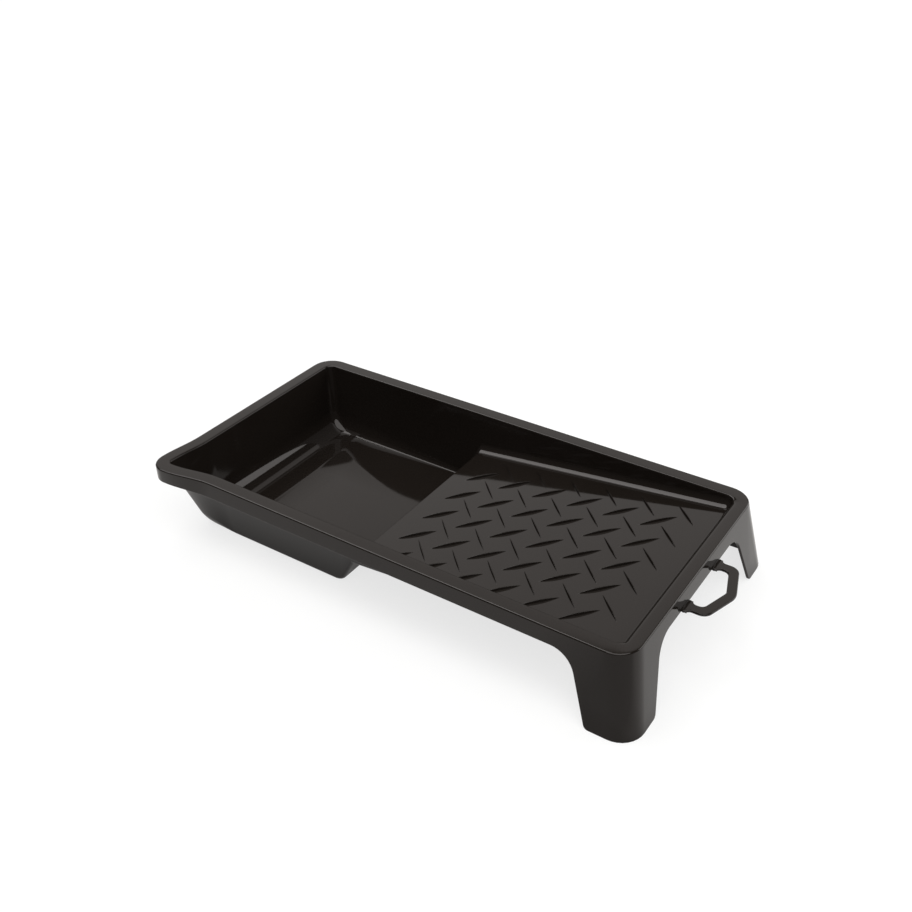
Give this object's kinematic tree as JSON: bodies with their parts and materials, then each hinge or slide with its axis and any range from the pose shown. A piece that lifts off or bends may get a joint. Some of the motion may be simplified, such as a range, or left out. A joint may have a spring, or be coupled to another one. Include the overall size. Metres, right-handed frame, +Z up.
{
  "type": "paint roller tray",
  "caption": "Mini paint roller tray with a deep well, a treaded ramp, a skirted rim, flared corner legs, a pouring corner and a folding hanging loop.",
  "frame": {"origin": "on the ground, under the centre of the box round the whole tray, hanging loop included", "axes": "+X along the tray from the well end to the ramp end with the hanging loop, +Y across it to the side away from the pouring corner, +Z up"},
  "size_m": [0.313, 0.1642, 0.043],
  "materials": {
    "moulding": "satin black polypropylene",
    "tread": "satin black polypropylene",
    "loop": "satin black polypropylene"
  },
  "bodies": {
    "tray": {"rim_front": "moulding", "rim_back": "moulding", "rim_well_end": "moulding", "rim_ramp_end": "moulding", "pour_lip": "moulding", "skirt_front": "moulding", "skirt_back": "moulding", "skirt_well_end": "moulding", "skirt_ramp_end": "moulding", "pour_skirt": "moulding", "leg_front": "moulding", "leg_back": "moulding", "well_floor": "moulding", "well_end_wall": "moulding", "well_front_wall": "moulding", "well_back_wall": "moulding", "pour_channel": "moulding", "riser": "moulding", "ramp_deck": "moulding", "ramp_front_wall": "moulding", "ramp_back_wall": "moulding", "ramp_end_wall": "moulding", "tread_ribs": "tread"},
    "loop": {"hanging_loop": "loop"}
  },
  "joints": [
    {"name": "loop_fold", "type": "hinge", "parent": "tray", "child": "loop", "pos_m": [0.14, 0, 0.0347], "axis": [0, 1, 0], "range_deg": [-90, 90], "stiffness_Nm_per_rad": 0.02}
  ]
}
